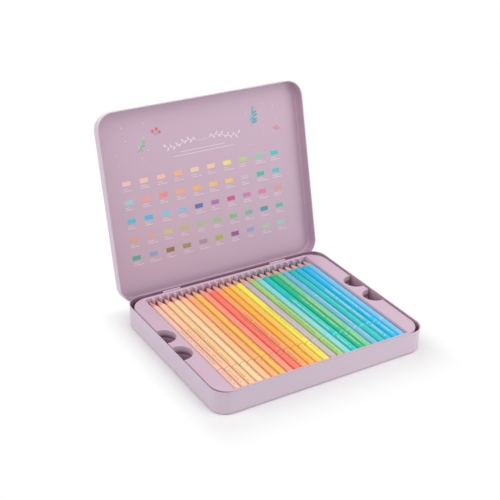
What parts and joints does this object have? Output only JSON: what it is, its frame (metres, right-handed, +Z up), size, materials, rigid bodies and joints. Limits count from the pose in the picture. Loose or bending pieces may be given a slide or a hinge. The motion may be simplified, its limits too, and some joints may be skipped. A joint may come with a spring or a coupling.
{
  "type": "colored pencil tin",
  "caption": "Hinged rectangular metal tin with two stacked formed trays of round, sharpened colour pencils.",
  "frame": {"origin": "centre of the tin base's underside", "axes": "+X right along the hinge, +Y back towards the hinge, +Z up"},
  "size_m": [0.2348, 0.2489, 0.2029],
  "materials": {
    "tin_paint": "satin lilac paint",
    "lid_paint": "satin lilac paint",
    "strap_paint": "satin lilac paint",
    "hinge_wire": "plain steel wire",
    "tray_plastic": "formed plastic sheet",
    "pencil_paint_lower_01": "glossy paint on wood, bare wood cone and a core of the paint's colour",
    "pencil_paint_lower_02": "glossy paint on wood, bare wood cone and a core of the paint's colour",
    "pencil_paint_lower_03": "glossy paint on wood, bare wood cone and a core of the paint's colour",
    "pencil_paint_lower_04": "glossy paint on wood, bare wood cone and a core of the paint's colour",
    "pencil_paint_lower_05": "glossy paint on wood, bare wood cone and a core of the paint's colour",
    "pencil_paint_lower_06": "glossy paint on wood, bare wood cone and a core of the paint's colour",
    "pencil_paint_lower_07": "glossy paint on wood, bare wood cone and a core of the paint's colour",
    "pencil_paint_lower_08": "glossy paint on wood, bare wood cone and a core of the paint's colour",
    "pencil_paint_lower_09": "glossy paint on wood, bare wood cone and a core of the paint's colour",
    "pencil_paint_lower_10": "glossy paint on wood, bare wood cone and a core of the paint's colour",
    "pencil_paint_lower_11": "glossy paint on wood, bare wood cone and a core of the paint's colour",
    "pencil_paint_lower_12": "glossy paint on wood, bare wood cone and a core of the paint's colour",
    "pencil_paint_lower_13": "glossy paint on wood, bare wood cone and a core of the paint's colour",
    "pencil_paint_lower_14": "glossy paint on wood, bare wood cone and a core of the paint's colour",
    "pencil_paint_lower_15": "glossy paint on wood, bare wood cone and a core of the paint's colour",
    "pencil_paint_lower_16": "glossy paint on wood, bare wood cone and a core of the paint's colour",
    "pencil_paint_lower_17": "glossy paint on wood, bare wood cone and a core of the paint's colour",
    "pencil_paint_lower_18": "glossy paint on wood, bare wood cone and a core of the paint's colour",
    "pencil_paint_lower_19": "glossy paint on wood, bare wood cone and a core of the paint's colour",
    "pencil_paint_lower_20": "glossy paint on wood, bare wood cone and a core of the paint's colour",
    "pencil_paint_lower_21": "glossy paint on wood, bare wood cone and a core of the paint's colour",
    "pencil_paint_lower_22": "glossy paint on wood, bare wood cone and a core of the paint's colour",
    "pencil_paint_lower_23": "glossy paint on wood, bare wood cone and a core of the paint's colour",
    "pencil_paint_lower_24": "glossy paint on wood, bare wood cone and a core of the paint's colour",
    "pencil_paint_lower_25": "glossy paint on wood, bare wood cone and a core of the paint's colour",
    "pencil_paint_lower_26": "glossy paint on wood, bare wood cone and a core of the paint's colour",
    "pencil_paint_upper_01": "glossy paint on wood, bare wood cone and a core of the paint's colour",
    "pencil_paint_upper_02": "glossy paint on wood, bare wood cone and a core of the paint's colour",
    "pencil_paint_upper_03": "glossy paint on wood, bare wood cone and a core of the paint's colour",
    "pencil_paint_upper_04": "glossy paint on wood, bare wood cone and a core of the paint's colour",
    "pencil_paint_upper_05": "glossy paint on wood, bare wood cone and a core of the paint's colour",
    "pencil_paint_upper_06": "glossy paint on wood, bare wood cone and a core of the paint's colour",
    "pencil_paint_upper_07": "glossy paint on wood, bare wood cone and a core of the paint's colour",
    "pencil_paint_upper_08": "glossy paint on wood, bare wood cone and a core of the paint's colour",
    "pencil_paint_upper_09": "glossy paint on wood, bare wood cone and a core of the paint's colour",
    "pencil_paint_upper_10": "glossy paint on wood, bare wood cone and a core of the paint's colour",
    "pencil_paint_upper_11": "glossy paint on wood, bare wood cone and a core of the paint's colour",
    "pencil_paint_upper_12": "glossy paint on wood, bare wood cone and a core of the paint's colour",
    "pencil_paint_upper_13": "glossy paint on wood, bare wood cone and a core of the paint's colour",
    "pencil_paint_upper_14": "glossy paint on wood, bare wood cone and a core of the paint's colour",
    "pencil_paint_upper_15": "glossy paint on wood, bare wood cone and a core of the paint's colour",
    "pencil_paint_upper_16": "glossy paint on wood, bare wood cone and a core of the paint's colour",
    "pencil_paint_upper_17": "glossy paint on wood, bare wood cone and a core of the paint's colour",
    "pencil_paint_upper_18": "glossy paint on wood, bare wood cone and a core of the paint's colour",
    "pencil_paint_upper_19": "glossy paint on wood, bare wood cone and a core of the paint's colour",
    "pencil_paint_upper_20": "glossy paint on wood, bare wood cone and a core of the paint's colour",
    "pencil_paint_upper_21": "glossy paint on wood, bare wood cone and a core of the paint's colour",
    "pencil_paint_upper_22": "glossy paint on wood, bare wood cone and a core of the paint's colour",
    "pencil_paint_upper_23": "glossy paint on wood, bare wood cone and a core of the paint's colour",
    "pencil_paint_upper_24": "glossy paint on wood, bare wood cone and a core of the paint's colour"
  },
  "bodies": {
    "base": {"tin_base": "tin_paint", "hinge_strap_left": "strap_paint", "hinge_strap_right": "strap_paint"},
    "lid": {"tin_lid": "lid_paint", "hinge_wire_left": "hinge_wire", "hinge_wire_right": "hinge_wire"},
    "lower_tray_body": {"lower_tray": "tray_plastic", "lower_pencil_01": "pencil_paint_lower_01", "lower_pencil_02": "pencil_paint_lower_02", "lower_pencil_03": "pencil_paint_lower_03", "lower_pencil_04": "pencil_paint_lower_04", "lower_pencil_05": "pencil_paint_lower_05", "lower_pencil_06": "pencil_paint_lower_06", "lower_pencil_07": "pencil_paint_lower_07", "lower_pencil_08": "pencil_paint_lower_08", "lower_pencil_09": "pencil_paint_lower_09", "lower_pencil_10": "pencil_paint_lower_10", "lower_pencil_11": "pencil_paint_lower_11", "lower_pencil_12": "pencil_paint_lower_12", "lower_pencil_13": "pencil_paint_lower_13", "lower_pencil_14": "pencil_paint_lower_14", "lower_pencil_15": "pencil_paint_lower_15", "lower_pencil_16": "pencil_paint_lower_16", "lower_pencil_17": "pencil_paint_lower_17", "lower_pencil_18": "pencil_paint_lower_18", "lower_pencil_19": "pencil_paint_lower_19", "lower_pencil_20": "pencil_paint_lower_20", "lower_pencil_21": "pencil_paint_lower_21", "lower_pencil_22": "pencil_paint_lower_22", "lower_pencil_23": "pencil_paint_lower_23", "lower_pencil_24": "pencil_paint_lower_24", "lower_pencil_25": "pencil_paint_lower_25", "lower_pencil_26": "pencil_paint_lower_26"},
    "upper_tray_body": {"upper_tray": "tray_plastic"},
    "upper_pencil_01_body": {"upper_pencil_01": "pencil_paint_upper_01"},
    "upper_pencil_02_body": {"upper_pencil_02": "pencil_paint_upper_02"},
    "upper_pencil_03_body": {"upper_pencil_03": "pencil_paint_upper_03"},
    "upper_pencil_04_body": {"upper_pencil_04": "pencil_paint_upper_04"},
    "upper_pencil_05_body": {"upper_pencil_05": "pencil_paint_upper_05"},
    "upper_pencil_06_body": {"upper_pencil_06": "pencil_paint_upper_06"},
    "upper_pencil_07_body": {"upper_pencil_07": "pencil_paint_upper_07"},
    "upper_pencil_08_body": {"upper_pencil_08": "pencil_paint_upper_08"},
    "upper_pencil_09_body": {"upper_pencil_09": "pencil_paint_upper_09"},
    "upper_pencil_10_body": {"upper_pencil_10": "pencil_paint_upper_10"},
    "upper_pencil_11_body": {"upper_pencil_11": "pencil_paint_upper_11"},
    "upper_pencil_12_body": {"upper_pencil_12": "pencil_paint_upper_12"},
    "upper_pencil_13_body": {"upper_pencil_13": "pencil_paint_upper_13"},
    "upper_pencil_14_body": {"upper_pencil_14": "pencil_paint_upper_14"},
    "upper_pencil_15_body": {"upper_pencil_15": "pencil_paint_upper_15"},
    "upper_pencil_16_body": {"upper_pencil_16": "pencil_paint_upper_16"},
    "upper_pencil_17_body": {"upper_pencil_17": "pencil_paint_upper_17"},
    "upper_pencil_18_body": {"upper_pencil_18": "pencil_paint_upper_18"},
    "upper_pencil_19_body": {"upper_pencil_19": "pencil_paint_upper_19"},
    "upper_pencil_20_body": {"upper_pencil_20": "pencil_paint_upper_20"},
    "upper_pencil_21_body": {"upper_pencil_21": "pencil_paint_upper_21"},
    "upper_pencil_22_body": {"upper_pencil_22": "pencil_paint_upper_22"},
    "upper_pencil_23_body": {"upper_pencil_23": "pencil_paint_upper_23"},
    "upper_pencil_24_body": {"upper_pencil_24": "pencil_paint_upper_24"}
  },
  "joints": [
    {"name": "lid_hinge", "type": "hinge", "parent": "base", "child": "lid", "pos_m": [0, 0.0954, 0.0176], "axis": [-1, 0, 0], "range_deg": [-104.5, 0]},
    {"name": "lower_tray_lift", "type": "slide", "parent": "base", "child": "lower_tray_body", "axis": [0, 0, 1], "range_m": [0, 0.03]},
    {"name": "upper_tray_lift", "type": "slide", "parent": "lower_tray_body", "child": "upper_tray_body", "axis": [0, 0, 1], "range_m": [0, 0.025]},
    {"name": "upper_pencil_01_lift", "type": "slide", "parent": "upper_tray_body", "child": "upper_pencil_01_body", "axis": [0, 0, 1], "range_m": [0, 0.012]},
    {"name": "upper_pencil_02_lift", "type": "slide", "parent": "upper_tray_body", "child": "upper_pencil_02_body", "axis": [0, 0, 1], "range_m": [0, 0.012]},
    {"name": "upper_pencil_03_lift", "type": "slide", "parent": "upper_tray_body", "child": "upper_pencil_03_body", "axis": [0, 0, 1], "range_m": [0, 0.012]},
    {"name": "upper_pencil_04_lift", "type": "slide", "parent": "upper_tray_body", "child": "upper_pencil_04_body", "axis": [0, 0, 1], "range_m": [0, 0.012]},
    {"name": "upper_pencil_05_lift", "type": "slide", "parent": "upper_tray_body", "child": "upper_pencil_05_body", "axis": [0, 0, 1], "range_m": [0, 0.012]},
    {"name": "upper_pencil_06_lift", "type": "slide", "parent": "upper_tray_body", "child": "upper_pencil_06_body", "axis": [0, 0, 1], "range_m": [0, 0.012]},
    {"name": "upper_pencil_07_lift", "type": "slide", "parent": "upper_tray_body", "child": "upper_pencil_07_body", "axis": [0, 0, 1], "range_m": [0, 0.012]},
    {"name": "upper_pencil_08_lift", "type": "slide", "parent": "upper_tray_body", "child": "upper_pencil_08_body", "axis": [0, 0, 1], "range_m": [0, 0.012]},
    {"name": "upper_pencil_09_lift", "type": "slide", "parent": "upper_tray_body", "child": "upper_pencil_09_body", "axis": [0, 0, 1], "range_m": [0, 0.012]},
    {"name": "upper_pencil_10_lift", "type": "slide", "parent": "upper_tray_body", "child": "upper_pencil_10_body", "axis": [0, 0, 1], "range_m": [0, 0.012]},
    {"name": "upper_pencil_11_lift", "type": "slide", "parent": "upper_tray_body", "child": "upper_pencil_11_body", "axis": [0, 0, 1], "range_m": [0, 0.012]},
    {"name": "upper_pencil_12_lift", "type": "slide", "parent": "upper_tray_body", "child": "upper_pencil_12_body", "axis": [0, 0, 1], "range_m": [0, 0.012]},
    {"name": "upper_pencil_13_lift", "type": "slide", "parent": "upper_tray_body", "child": "upper_pencil_13_body", "axis": [0, 0, 1], "range_m": [0, 0.012]},
    {"name": "upper_pencil_14_lift", "type": "slide", "parent": "upper_tray_body", "child": "upper_pencil_14_body", "axis": [0, 0, 1], "range_m": [0, 0.012]},
    {"name": "upper_pencil_15_lift", "type": "slide", "parent": "upper_tray_body", "child": "upper_pencil_15_body", "axis": [0, 0, 1], "range_m": [0, 0.012]},
    {"name": "upper_pencil_16_lift", "type": "slide", "parent": "upper_tray_body", "child": "upper_pencil_16_body", "axis": [0, 0, 1], "range_m": [0, 0.012]},
    {"name": "upper_pencil_17_lift", "type": "slide", "parent": "upper_tray_body", "child": "upper_pencil_17_body", "axis": [0, 0, 1], "range_m": [0, 0.012]},
    {"name": "upper_pencil_18_lift", "type": "slide", "parent": "upper_tray_body", "child": "upper_pencil_18_body", "axis": [0, 0, 1], "range_m": [0, 0.012]},
    {"name": "upper_pencil_19_lift", "type": "slide", "parent": "upper_tray_body", "child": "upper_pencil_19_body", "axis": [0, 0, 1], "range_m": [0, 0.012]},
    {"name": "upper_pencil_20_lift", "type": "slide", "parent": "upper_tray_body", "child": "upper_pencil_20_body", "axis": [0, 0, 1], "range_m": [0, 0.012]},
    {"name": "upper_pencil_21_lift", "type": "slide", "parent": "upper_tray_body", "child": "upper_pencil_21_body", "axis": [0, 0, 1], "range_m": [0, 0.012]},
    {"name": "upper_pencil_22_lift", "type": "slide", "parent": "upper_tray_body", "child": "upper_pencil_22_body", "axis": [0, 0, 1], "range_m": [0, 0.012]},
    {"name": "upper_pencil_23_lift", "type": "slide", "parent": "upper_tray_body", "child": "upper_pencil_23_body", "axis": [0, 0, 1], "range_m": [0, 0.012]},
    {"name": "upper_pencil_24_lift", "type": "slide", "parent": "upper_tray_body", "child": "upper_pencil_24_body", "axis": [0, 0, 1], "range_m": [0, 0.012]}
  ]
}
